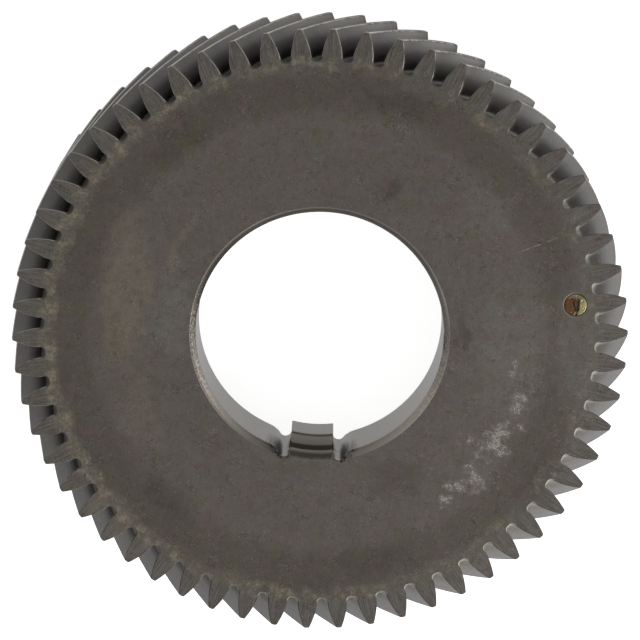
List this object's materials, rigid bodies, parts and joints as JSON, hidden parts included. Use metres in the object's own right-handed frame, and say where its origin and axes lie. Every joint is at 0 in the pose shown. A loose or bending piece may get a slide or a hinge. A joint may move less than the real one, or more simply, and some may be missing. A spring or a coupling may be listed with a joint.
{
  "type": "helical gear",
  "caption": "Deep-toothed right-hand helical gear with a wide chamfered bore, an integral driving tongue between relief grooves, a recessed back and a small slotted brass plug.",
  "frame": {"origin": "centre of the gear's rear side, on the plane of the rear tooth ends, which the gear lies on", "axes": "+Z along the axis from the recessed rear to the plain front face; -Y from the axis towards the driving tongue in the bore"},
  "size_m": [0.202, 0.202, 0.042],
  "materials": {
    "oiled_steel": "dark machined alloy steel with an old oil film, bright worn edges and light corrosion",
    "tarnished_brass": "tarnished brass, scraped flush"
  },
  "bodies": {
    "root": {"gear": "oiled_steel", "brass_plug": "tarnished_brass"}
  },
  "joints": []
}
